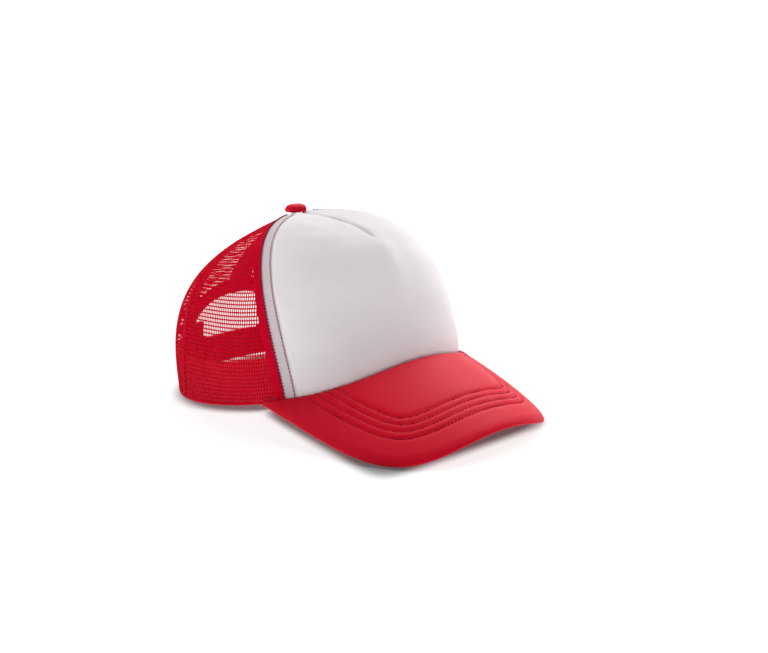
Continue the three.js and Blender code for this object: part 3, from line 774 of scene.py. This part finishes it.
# Folded edge of a net, a narrow strip along a line of (angle, climb) places toward a second line
def fold(edge, inward, width, proud=net["hemProud"]):
    span = np.linalg.norm(crownPoint(*inward) - crownPoint(*edge), axis=-1)
    shares = np.linspace(0, 1, 5)[:, None] * np.minimum(width / span, 1)
    angle, climb = mix(edge[0], inward[0], shares), mix(edge[1], inward[1], shares)
    across = np.linspace(-1, 1, 5)[:, None] + 0 * angle
    bulge = proud * np.sqrt(np.maximum(0, 1 - 0.85 * across ** 2))
    outer = skinPoint(angle, climb, cloth["netDrop"] - bulge)
    inner = skinPoint(angle, climb, cloth["netDrop"] + cloth["netThickness"] + 0 * angle)
    item = sheetBody("net_fold", outer.transpose(1, 0, 2), inner.transpose(1, 0, 2))
    item.data.materials.append(materials["net_cord"])
    return item


def sideNet(side, turn):
    top = climbAtRadius(math.radians(seams["backAtPole"]), crown["poleHole"])
    climbs = np.linspace(0, top, 70)[:, None]
    low, high = frontSeam(climbs), backSeam(climbs)
    spare = seams["gap"] / 2 / poleDistance(low, climbs)
    shares = np.linspace(0, 1, 50)[None]
    angle = mix(low + spare, high - spare, shares)
    climb = climbs + 0 * angle
    midline = lambda at: turn * (frontSeam(at) + backSeam(at)) / 2
    name = f"side_net_{side}_cloth"
    panel, points, size = netPanel(name, turn * angle, climb, midline, turn)
    front, middle, back = [(turn * angle[:, column], climb[:, column]) for column in (0, 25, -1)]
    folds = [
        fold(front, middle, net["frontHem"]),
        fold(back, middle, net["seamHem"], net["seamProud"]),
        fold((turn * angle[0], climb[0]), (turn * angle[0], climb[0] + 0.2), net["rimHem"]),
    ]
    whole = joined(name, [panel, *folds])
    finished(whole, None, "net", f"side_net_{side}")


# Opening in the back and its binding, drawn as seen from behind
arch = {
    "halfWidth": 44.0, "height": 50.0, "fullness": 2.3, "rimFrom": 0.53,
    "binding": 8.0, "proud": 0.7, "dent": 0.28, "dentWidth": 0.05, "sewnAt": (0.2, 0.8), "flatWidth": 0.01,
    "stitch": {"pitch": 2.9, "length": 2.0, "width": 0.4, "height": 0.35, "proud": 0.05,
               "thread": "red_thread"},
}


def archPlace(turn, margin):
    power = 2 / arch["fullness"]
    wide = np.sign(np.cos(turn)) * np.abs(np.cos(turn)) ** power
    high = np.abs(np.sin(turn)) ** power
    return (arch["halfWidth"] + margin) * wide, (arch["height"] + margin) * high


def backNet(side, turn):
    onArch = arch["rimFrom"]
    shares = np.linspace(0, 1, 61)
    x, height = archPlace(np.pi / 2 * (1 - np.minimum(1, shares / onArch)), arch["binding"])
    x[0] = 0.0
    footAngle, footClimb = backPlace(np.maximum(x, 0), np.maximum(height, 0))
    footAngle[0] = np.pi
    alongRim = shares > onArch
    start = footAngle[~alongRim][-1]
    footAngle[alongRim] = mix(start, backSeam(0), (shares[alongRim] - onArch) / (1 - onArch))
    footClimb[alongRim] = 0
    footAcross = (np.pi - footAngle) / (np.pi - backSeam(footClimb))
    climbShare = np.linspace(0, 1, 60)[:, None]
    top = climbAtRadius(math.radians(seams["backAtPole"]), crown["poleHole"])
    climb = mix(footClimb[None], top, climbShare)
    across = mix(footAcross[None], shares[None], smooth(climbShare, 0, 1))
    width = np.pi - backSeam(climb)
    spare = seams["gap"] / 2 / poleDistance(np.pi, climb) / width
    angle = np.pi - width * mix(spare, 1 - spare, across)
    midline = lambda at: turn * (np.pi + backSeam(at)) / 2
    name = f"back_net_{side}_cloth"
    panel, points, size = netPanel(name, turn * angle, climb, midline, turn)
    centre, middle, seam = [(turn * angle[:, column], climb[:, column]) for column in (0, 30, -1)]
    folds = [
        fold(centre, middle, net["seamHem"], net["seamProud"]),
        fold(seam, middle, net["seamHem"], net["seamProud"]),
        fold((turn * angle[0], climb[0]), (turn * angle[8], climb[8]), net["archHem"]),
    ]
    whole = joined(name, [panel, *folds])
    finished(whole, None, "net", f"back_net_{side}")


for side, turn in sides.items():
    sideNet(side, turn)
    backNet(side, turn)
print("nets made")

# Visor

visor = {
    "corner": 61.9, "cornerOut": 1.6, "sideOut": -2.4, "sideAhead": 91.2, "frontPull": 68.6, "reach": 69.8,
    "thickness": 4.0, "innerRise": 40.65, "slope": 0.257, "droop": 0.113, "arch": 34.1, "archWidth": 84.0,
    "flattening": 0.183, "archCorner": 0.018, "seamDrop": 0.15,
    "rowsFromEdge": (16.9, 21.97, 27.03, 32.1), "grooveDepth": 1.35, "puffPower": 0.5, "puffShare": 0.85,
    "fallOff": 1.3, "pullIn": 0.55, "pullFade": 1.1, "underShare": 0.5, "rowsFade": (2, 16),
    "edgeRound": 5.5, "edgeHalf": 0.02, "seamDip": 0.8, "seamDipWidth": 1.3,
    "stitch": {"pitch": 2.9, "length": 2.0, "width": 0.7, "height": 0.7, "thread": "edging_thread"},
    "columns": 420, "rows": 104, "crowding": 1.12, "edgeShare": 0.025, "edgeRows": 8,
}


def visorHeight(x, y):
    ahead = (y + crown["rimFront"]) / visor["reach"]
    wide = x / visor["archWidth"]
    bend = wide ** 2 * (1 - visor["flattening"] * ahead) + visor["archCorner"] * wide ** 4
    middle = visor["innerRise"] + visor["reach"] * (visor["slope"] * ahead - visor["droop"] * ahead ** 2)
    return middle - visor["arch"] * bend


def visorOutline(share):
    corner = rimPlan(math.radians(visor["corner"]))
    start = corner * (1 + visor["cornerOut"] / np.linalg.norm(corner))
    tip = np.array([0, -crown["rimFront"] - visor["reach"]])
    aside, ahead = start + [visor["sideOut"], -visor["sideAhead"]], np.array([visor["frontPull"], tip[1]])
    t = (1 - np.abs(share))[..., None]
    weights = [(1 - t) ** 3, 3 * t * (1 - t) ** 2, 3 * t * t * (1 - t), t ** 3]
    point = sum(weight * pull for weight, pull in zip(weights, (start, aside, ahead, tip)))
    return point * np.stack([np.where(share < 0, -1.0, 1.0), np.ones_like(share)], -1)


def visorRelief(away, along):
    first, last = visor["rowsFromEdge"][0], visor["rowsFromEdge"][-1]
    pitch = (last - first) / (len(visor["rowsFromEdge"]) - 1)
    phase = (away - first) / pitch
    between = np.abs(np.sin(np.pi * np.clip(phase, 0, 3))) ** visor["puffPower"]
    outside = np.maximum(first - away, away - last)
    beyond = 1 - np.exp(-np.maximum(outside, 0) / visor["fallOff"])
    puff = np.where(outside > 0, beyond, between * visor["puffShare"])
    beat = np.cos(2 * np.pi * along / visor["stitch"]["pitch"])
    pulled = visor["pullIn"] * beat * np.clip(1 - puff * visor["pullFade"], 0, 1)
    return -(visor["grooveDepth"] + pulled) * (1 - puff)


def visorGrid():
    share = np.linspace(-1, 1, visor["columns"])
    inner = rimPlan(share * math.radians(visor["corner"]))
    inner = inner * (1 - visor["seamDrop"] / np.linalg.norm(inner, axis=-1))[..., None]
    outer = visorOutline(share)
    across = (1 - np.linspace(1, 0, visor["rows"]) ** visor["crowding"])[:-1] * (1 - visor["edgeShare"])
    rounded = 1 - visor["edgeShare"] * np.linspace(1, 0, visor["edgeRows"]) ** 2
    across = np.concatenate([across, rounded])[:, None, None]
    plan = mix(inner[None], outer[None], across)
    line = np.concatenate([outer, visorHeight(outer[:, 0], outer[:, 1])[:, None]], -1)
    arc = np.concatenate([[0], np.cumsum(np.linalg.norm(np.diff(line, axis=0), axis=-1))])
    height = visorHeight(plan[..., 0], plan[..., 1])
    points = np.concatenate([plan, height[..., None]], -1)
    away, along = np.empty(height.shape), np.empty(height.shape)
    for row in range(len(points)):
        offset = points[row][:, None, :] - line[None]
        distance = np.linalg.norm(offset, axis=-1)
        nearest = distance.argmin(1)
        here = np.clip(nearest, 1, len(line) - 2)
        tangent = line[here + 1] - line[here - 1]
        tangent = tangent / np.linalg.norm(tangent, axis=-1)[:, None]
        slide = np.einsum("ij,ij->i", points[row] - line[here], tangent)
        foot = line[here] + tangent * slide[:, None]
        away[row] = np.where(row == len(points) - 1, 0, np.linalg.norm(points[row] - foot, axis=-1))
        along[row] = arc[here] + slide
    x, y, step = plan[..., 0], plan[..., 1], 0.5
    slopeX = (visorHeight(x + step, y) - visorHeight(x - step, y)) / (2 * step)
    slopeY = (visorHeight(x, y + step) - visorHeight(x, y - step)) / (2 * step)
    normal = np.stack([-slopeX, -slopeY, np.ones_like(slopeX)], -1)
    fromCrown = np.linalg.norm(plan - inner[None], axis=-1)
    return points, normal / np.linalg.norm(normal, axis=-1)[..., None], away, along, fromCrown


def makeVisor():
    points, normal, away, along, fromCrown = visorGrid()
    near = np.minimum(away / visor["edgeRound"], 1)
    half = visor["thickness"] / 2 * np.sqrt(np.maximum(0, 1 - (1 - near) ** 2))
    half[-1] = visor["edgeHalf"]
    relief = visorRelief(away, along) * smooth(fromCrown, *visor["rowsFade"])
    dip = visor["seamDip"] * np.exp(-(fromCrown / visor["seamDipWidth"]) ** 2)
    upright = np.array([0, 0, 1.0])
    top = points + upright * ((half + relief - dip) / normal[..., 2])[..., None]
    bottom = points - upright * ((half + relief * visor["underShare"]) / normal[..., 2])[..., None]
    item = sheetBody("visor_board", top, bottom, sharp=65)
    finished(item, "visor_cloth", "visor_cloth", "visor")
    lines, normals = [], []
    for distance in visor["rowsFromEdge"]:
        line, facing = [], []
        for column in range(points.shape[1]):
            gap = away[:, column] - distance
            cuts = np.nonzero((gap[:-1] > 0) & (gap[1:] <= 0))[0]
            if len(cuts):
                at = cuts[-1]
                share = gap[at] / (gap[at] - gap[at + 1])
                line.append(mix(top[at, column], top[at + 1, column], share))
                facing.append(normal[at, column])
        lines.append(np.array(line))
        normals.append(np.array(facing))
    sew("visor_stitches", lines, normals, visor["stitch"])


makeVisor()
print("visor made")

# Sweatband and tapes inside

lining = {
    "bandLow": 1.5, "bandHigh": 27.5, "bandThickness": 1.5, "bandEnd": 142.0, "bandEdge": 0.35,
    "bandStep": (6, 18),
    "tapeWidth": 14.0, "tapeThickness": 0.9, "tapeTopRadius": 19.5,
    "tapeRidge": 0.16, "tapeRidgeAt": 0.6, "tapeRidgeWidth": 0.12,
}


def makeBand():
    angle = np.radians(np.linspace(-lining["bandEnd"], lining["bandEnd"], 221))[None]
    share = np.linspace(0, 1, 17)[:, None]
    rise = mix(lining["bandLow"], lining["bandHigh"], share)
    climb = climbAtRise(np.abs(angle) + 0 * share, rise + 0 * angle)
    angle = angle + 0 * share
    # the band steps outward where the foam ends and the thinner net begins
    overNet = smooth(np.degrees(np.abs(angle)) - seams["frontAtRim"], *lining["bandStep"])
    netDepth = cloth["netDrop"] + cloth["netThickness"]
    carrier = mix(cloth["foamThickness"], netDepth, overNet) + cloth["pieceGap"]
    edge = lining["bandEdge"] * (np.clip(np.abs(share * 2 - 1) * 8 - 7, 0, 1)) ** 2
    outer = skinPoint(angle, climb, carrier + edge)
    inner = skinPoint(angle, climb, carrier + lining["bandThickness"] - edge)
    item = sheetBody("sweatband_cloth", outer, inner)
    finished(item, "band_cloth", "cloth", "sweatband")


def makeTape(name, centre, foot, node):
    top = float(climbAtRadius(centre(1.0), lining["tapeTopRadius"]))
    climb = np.linspace(foot, top, 60)[:, None]
    middle = centre(climb)
    across = np.linspace(-1, 1, 15)[None]
    angle = middle + across * lining["tapeWidth"] / 2 / poleDistance(middle, climb)
    climb = climb + 0 * angle
    depth = cloth["netDrop"] + cloth["netThickness"] + cloth["pieceGap"]
    ridge = np.exp(-((np.abs(across) - lining["tapeRidgeAt"]) / lining["tapeRidgeWidth"]) ** 2)
    ridge = lining["tapeRidge"] * ridge
    outer = skinPoint(angle, climb, depth + ridge)
    inner = skinPoint(angle, climb, depth + lining["tapeThickness"] - ridge)
    item = sheetBody(name, outer, inner)
    finished(item, "tape_cloth", "cloth", node)


makeBand()
tapeRise = lining["bandHigh"] + cloth["pieceGap"]
for side, turn in sides.items():
    for seam, curve in (("front", frontSeam), ("back", backSeam)):
        foot = float(climbAtRise(math.radians(seams[seam + "AtRim"]), tapeRise))
        centre = lambda climb, turn=turn, curve=curve: turn * curve(climb)
        makeTape(f"{seam}_tape_{side}", centre, foot, f"{seam}_seam_tape_{side}")
centreFoot = float(climbAtHeight(np.pi, arch["height"] + arch["binding"] + cloth["pieceGap"]))
makeTape("centre_tape", lambda climb: np.pi + 0 * np.asarray(climb, float), centreFoot, "centre_back_tape")


# Binding round the opening in the back

def makeBinding():
    turn = np.linspace(0, np.pi, 161)[None]
    share = np.linspace(0, 1, 13)[:, None]
    x, height = archPlace(turn, mix(0, arch["binding"] - cloth["pieceGap"], share))
    crest = arch["proud"] * (0.5 + 0.5 * np.sqrt(np.maximum(0, 1 - (share * 2 - 1) ** 2)))
    dent = arch["dent"] * sum(np.exp(-((share - at) / arch["dentWidth"]) ** 2) for at in arch["sewnAt"])
    angle, climb = backPlace(x, height)
    outer = skinPoint(angle, climb, cloth["netDrop"] - crest + dent + 0 * angle)
    inner = skinPoint(angle, climb, cloth["netDrop"] + cloth["netThickness"] + crest - dent + 0 * angle)
    item = sheetBody("opening_binding", outer, inner)
    finished(item, "tape_cloth", "cloth", "arch_binding")
    # the rows stop short of the rim, so no stitch hangs below it
    above = slice(3, -3)
    lines, normals = [], []
    for at in arch["sewnAt"]:
        row = round(at * (len(share) - 1))
        facing = crownNormal(angle[row], climb[row])[above]
        lines.append(outer[row][above] + facing * arch["stitch"]["proud"])
        normals.append(facing)
    sew("binding_stitches", lines, normals, arch["stitch"])


makeBinding()
print("bands and binding made")

# Snap strap

strap = {
    "height": 20.0, "thickness": 1.4, "overlap": 24.0, "edgeRound": 0.3, "endRound": 0.9,
    "pegs": 7, "pegPitch": 7.2, "pegRadius": 2.0, "pegProud": 0.8, "holeSpare": 1.0,
    "pegProfile": ((0.9, 0.94), (0.5, 1.04), (0.15, 0.92), (0, 0.6)),
    # height of the top edge as a share of the height, from the opening's edge to the end
    "along": (0, 0.08, 0.15, 0.19, 0.22, 0.25, 0.29, 0.5, 0.72, 0.93, 0.98, 1),
    "top": (1.65, 1.68, 1.66, 1.55, 1.3, 1.07, 1, 1, 1, 0.99, 0.9, 0.78),
}


def archReach(height):
    share = np.minimum(1, height / arch["height"])
    return arch["halfWidth"] * (1 - share ** arch["fullness"]) ** (1 / arch["fullness"])


def strapHalf(name, turn, depth):
    along = np.linspace(0, 1, 121)[None]
    top = np.interp(along, strap["along"], strap["top"])
    share = np.linspace(0, 1, 15)[:, None]
    trim = np.where(along > strap["endRound"], strap["height"] * (1 - top), 0)
    height = mix(trim, strap["height"] * top, share)
    x = turn * mix(archReach(height) - cloth["pieceGap"], -strap["overlap"], along)
    edge = strap["edgeRound"] * np.clip(np.abs(share * 2 - 1) * 7 - 6, 0, 1) ** 2
    outer = backPoint(x, height, depth + edge)
    inner = backPoint(x, height, depth + strap["thickness"] - edge)
    return sheetBody(name, outer, inner)


def strapPost(name, x, profile):
    steps = [backPoint(x, strap["height"] / 2, depth) for depth, _ in profile]
    axis = steps[-1] - steps[0]
    axis = axis / np.linalg.norm(axis)
    first = np.cross(axis, [0, 0, 1.0])
    first = first / np.linalg.norm(first)
    second = np.cross(axis, first)
    turn = np.linspace(0, 2 * np.pi, 33)[:-1]
    circle = np.cos(turn)[:, None] * first + np.sin(turn)[:, None] * second
    points = np.concatenate([step + circle * radius for step, (_, radius) in zip(steps, profile)])
    count, rings = len(turn), len(profile)
    ends = [list(range(count))[::-1], list(range((rings - 1) * count, rings * count))]
    return makeObject(name, points, tubeFaces(rings, count) + ends)


def makeStrap():
    outside, inside = cloth["netDrop"], cloth["netDrop"] + strap["thickness"] + cloth["pieceGap"]
    places = (np.arange(strap["pegs"]) - (strap["pegs"] - 1) / 2) * strap["pegPitch"]
    holed = strapHalf("strap_with_holes", -1, outside)
    hole = strap["pegRadius"] + cloth["pieceGap"]
    for x in places:
        cutter = strapPost("cutter", x, [(inside + strap["holeSpare"], hole), (-strap["holeSpare"], hole)])
        bpy.context.view_layer.update()
        cut = holed.modifiers.new("cut", "BOOLEAN")
        cut.operation = "DIFFERENCE"
        cut.solver = "EXACT"
        cut.object = cutter
        graph = bpy.context.evaluated_depsgraph_get()
        mesh = bpy.data.meshes.new_from_object(holed.evaluated_get(graph), depsgraph=graph)
        holed.modifiers.clear()
        holed.data = mesh
        bpy.data.objects.remove(cutter)
    pegged = strapHalf("strap_with_pegs", 1, inside)
    radius = strap["pegRadius"]
    top = outside - strap["pegProud"]
    profile = [(inside + strap["thickness"] / 2, radius)]
    profile += [(top + depth, radius * share) for depth, share in strap["pegProfile"]]
    pegs = [strapPost("peg", x, profile) for x in places]
    pegged = joined("strap_with_pegs", [pegged, *pegs])
    finished(holed, "strap_plastic", "strap_plastic", "snap_strap_right")
    finished(pegged, "strap_plastic", "strap_plastic", "snap_strap_left")


makeStrap()
print("strap made")

# Button

# profile: radius and height from the middle of the foot, round the edge, to the middle of the top
button = {
    "tilt": 7.0, "gathers": 24, "gather": 0.12, "gatherRadius": (3.8, 7.6), "gatherHeight": (1.5, 5),
    "profile": ((0, -3.2), (3.2, -3.2), (3.2, 0.3), (6.2, 0.32), (6.8, 0.6), (7.1, 1.3), (7.2, 2.1),
                (7.05, 2.9), (6.6, 3.7), (5.9, 4.45), (4.9, 5.0), (3.8, 5.35), (2.2, 5.55), (0.9, 5.6),
                (0, 5.6)),
}


def makeButton():
    profile = np.array(button["profile"])
    fine = np.linspace(0, 1, 60)
    arc = np.concatenate([[0], np.cumsum(np.linalg.norm(np.diff(profile, axis=0), axis=-1))])
    arc = arc / arc[-1]
    radius, height = np.interp(fine, arc, profile[:, 0]), np.interp(fine, arc, profile[:, 1])
    turn = np.linspace(0, 2 * np.pi, 97)[:-1]
    gathered = smooth(radius, *button["gatherRadius"]) * (1 - smooth(height, *button["gatherHeight"]))
    ripple = 1 + button["gather"] / 7 * np.cos(button["gathers"] * turn)[None] * gathered[:, None]
    x = radius[:, None] * np.cos(turn)[None] * ripple
    y = radius[:, None] * np.sin(turn)[None] * ripple
    z = height[:, None] + 0 * x
    tilt = math.radians(button["tilt"])
    lean, upright = math.sin(tilt), math.cos(tilt)
    points = np.stack([x, y * upright + z * lean, z * upright - y * lean], -1) + [*pole, crown["height"]]
    count, rings = len(turn), len(radius) - 2
    body = np.concatenate([points[1:-1].reshape(-1, 3), points[0, :1], points[-1, :1]])
    faces = tubeFaces(rings, count)
    bottom, top, last = len(body) - 2, len(body) - 1, (rings - 1) * count
    for corner in range(count):
        after = (corner + 1) % count
        faces += [[bottom, after, corner], [top, last + corner, last + after]]
    item = makeObject("crown_button", body, faces, body[:, :2] / 1000, sharp=60)
    finished(item, "visor_cloth", "visor_cloth", "button")


makeButton()
print("button made")

# Floor, light and camera

floorHalf, floorHeight = 9, -0.0002
floorMesh = bpy.data.meshes.new("floor")
floorCorners = [(x * floorHalf, y * floorHalf, floorHeight) for x, y in ((-1, -1), (1, -1), (1, 1), (-1, 1))]
floorMesh.from_pydata(floorCorners, [], [(0, 1, 2, 3)])
floor = shown("floor", floorMesh)
floor.data.materials.append(tableMaterial())


# Looks back at a place from a direction: degrees round from the front, degrees up, metres away
def aimed(item, target, around, up, distance):
    around, up = math.radians(around), math.radians(up)
    toward = Vector((math.sin(around) * math.cos(up), -math.cos(around) * math.cos(up), math.sin(up)))
    item.location = Vector(target) + toward * distance
    item.rotation_euler = toward.to_track_quat("Z", "Y").to_euler()


# wide soft lights, far away: degrees round from the front, degrees up, strength, degrees wide
studio = {"left": (-120, 22, 0.35, 60), "right": (120, 50, 3.3, 70), "everywhere": 0.15}
for name in ("left", "right"):
    around, up, power, wide = studio[name]
    light = bpy.data.lights.new(name, "SUN")
    light.energy = power
    light.angle = math.radians(wide)
    aimed(shown(name, light), (0, 0, 0), around, up, 2)

scene = bpy.context.scene
world = bpy.data.worlds.new("studio")
world.use_nodes = True
sky = world.node_tree.nodes["Background"].inputs
sky["Color"].default_value = (1, 1, 1, 1)
sky["Strength"].default_value = studio["everywhere"]
scene.world = world
scene.view_settings.view_transform = "Standard"

eye = {"azimuth": -42.27, "elevation": 18.52, "distance": 1.0232, "target": (0.0, 0.03645, 0.0),
       "lens": 71.93, "sensor": 36, "shiftX": 0.0903, "shiftY": 0.0799}
lens = bpy.data.cameras.new("eye")
lens.lens = eye["lens"]
lens.sensor_width = eye["sensor"]
lens.shift_x = eye["shiftX"]
lens.shift_y = eye["shiftY"]
lens.clip_end = 50
camera = shown("eye", lens)
aimed(camera, eye["target"], eye["azimuth"], eye["elevation"], eye["distance"])
scene.camera = camera
print("stage set")
